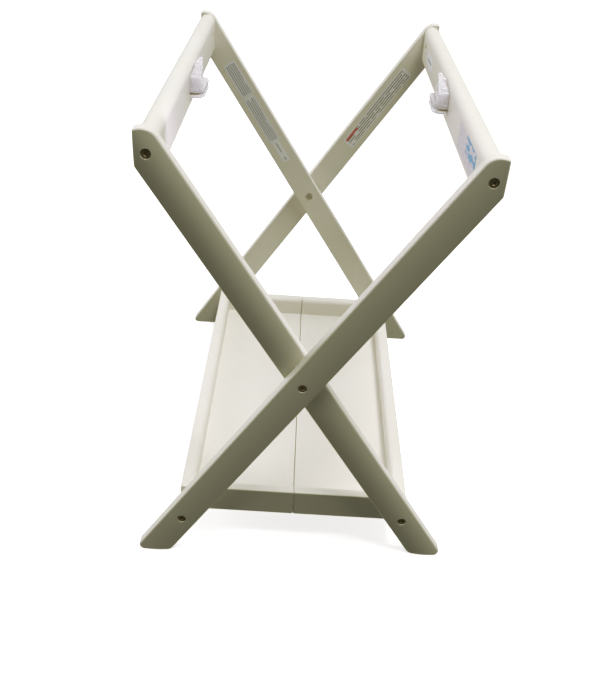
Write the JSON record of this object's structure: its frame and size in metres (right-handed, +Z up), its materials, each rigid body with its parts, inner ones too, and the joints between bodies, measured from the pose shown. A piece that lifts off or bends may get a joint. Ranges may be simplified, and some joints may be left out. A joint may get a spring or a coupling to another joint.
{
  "type": "folding carrycot stand",
  "caption": "Folding wooden carrycot stand: two crossed leg frames with top rails and clear carrycot mounts, tied by a shelf tray that folds up in the middle.",
  "frame": {"origin": "on the floor, under the middle of the stand", "axes": "+Z up; +Y along the length of the stand, from the front legs to the rear legs; +X to the right as seen from the front, across the crossed legs"},
  "size_m": [0.4892, 0.74, 0.6916],
  "materials": {
    "painted_wood": "smooth semi-gloss warm white paint over solid wood",
    "dark_bolt": "dark bronze plated steel, satin",
    "zinc_steel": "zinc plated steel, satin",
    "clear_plastic": "clear moulded plastic, glossy",
    "nylon": "natural white nylon, matt"
  },
  "bodies": {
    "outer_frame": {"outer_leg_front": "painted_wood", "outer_leg_rear": "painted_wood", "right_top_rail": "painted_wood", "right_rail_bolt_front": "dark_bolt", "right_rail_bolt_rear": "dark_bolt", "right_barrel_nut_front": "zinc_steel", "right_barrel_nut_rear": "zinc_steel", "right_carrycot_mount": "clear_plastic", "right_mount_screw_front": "zinc_steel", "right_mount_screw_rear": "zinc_steel", "pivot_bolt_front": "dark_bolt", "pivot_bolt_rear": "dark_bolt", "pivot_washer_front": "nylon", "pivot_washer_rear": "nylon", "pivot_sleeve_nut_front": "zinc_steel", "pivot_sleeve_nut_rear": "zinc_steel", "left_shelf_bolt_front": "dark_bolt", "left_shelf_bolt_rear": "dark_bolt", "left_shelf_spacer_front": "nylon", "left_shelf_spacer_rear": "nylon"},
    "inner_frame": {"inner_leg_front": "painted_wood", "inner_leg_rear": "painted_wood", "left_top_rail": "painted_wood", "left_rail_bolt_front": "dark_bolt", "left_rail_bolt_rear": "dark_bolt", "left_barrel_nut_front": "zinc_steel", "left_barrel_nut_rear": "zinc_steel", "left_carrycot_mount": "clear_plastic", "left_mount_screw_front": "zinc_steel", "left_mount_screw_rear": "zinc_steel", "right_shelf_bolt_front": "dark_bolt", "right_shelf_bolt_rear": "dark_bolt", "right_shelf_washer_front": "nylon", "right_shelf_washer_rear": "nylon"},
    "shelf_left": {"left_shelf_side_wall": "painted_wood", "left_shelf_front_wall": "painted_wood", "left_shelf_rear_wall": "painted_wood", "left_shelf_floor": "painted_wood", "left_shelf_insert_front": "zinc_steel", "left_shelf_insert_rear": "zinc_steel", "front_hinge_left_leaf": "zinc_steel", "front_hinge_left_screw_1": "zinc_steel", "front_hinge_left_screw_2": "zinc_steel", "front_hinge_pin": "zinc_steel", "rear_hinge_left_leaf": "zinc_steel", "rear_hinge_left_screw_1": "zinc_steel", "rear_hinge_left_screw_2": "zinc_steel", "rear_hinge_pin": "zinc_steel"},
    "shelf_right": {"right_shelf_side_wall": "painted_wood", "right_shelf_front_wall": "painted_wood", "right_shelf_rear_wall": "painted_wood", "right_shelf_floor": "painted_wood", "right_shelf_insert_front": "zinc_steel", "right_shelf_insert_rear": "zinc_steel", "front_hinge_right_leaf": "zinc_steel", "front_hinge_right_screw_1": "zinc_steel", "front_hinge_right_screw_2": "zinc_steel", "rear_hinge_right_leaf": "zinc_steel", "rear_hinge_right_screw_1": "zinc_steel", "rear_hinge_right_screw_2": "zinc_steel"}
  },
  "joints": [
    {"name": "fold", "type": "hinge", "parent": "outer_frame", "child": "inner_frame", "pos_m": [0, 0, 0.337], "axis": [0, 1, 0], "range_deg": [0, 56]},
    {"name": "shelf_left_lift", "type": "hinge", "parent": "outer_frame", "child": "shelf_left", "pos_m": [-0.1753, 0, 0.0718], "axis": [0, -1, 0], "range_deg": [0, 59.7]},
    {"name": "shelf_centre_fold", "type": "hinge", "parent": "shelf_left", "child": "shelf_right", "pos_m": [0, 0, 0.0502], "axis": [0, 1, 0], "range_deg": [0, 174.8]}
  ],
  "couplings": [
    {"joint": "shelf_left_lift", "follows": "fold", "ratio": 1.0563},
    {"joint": "shelf_centre_fold", "follows": "fold", "ratio": 3.1127}
  ]
}
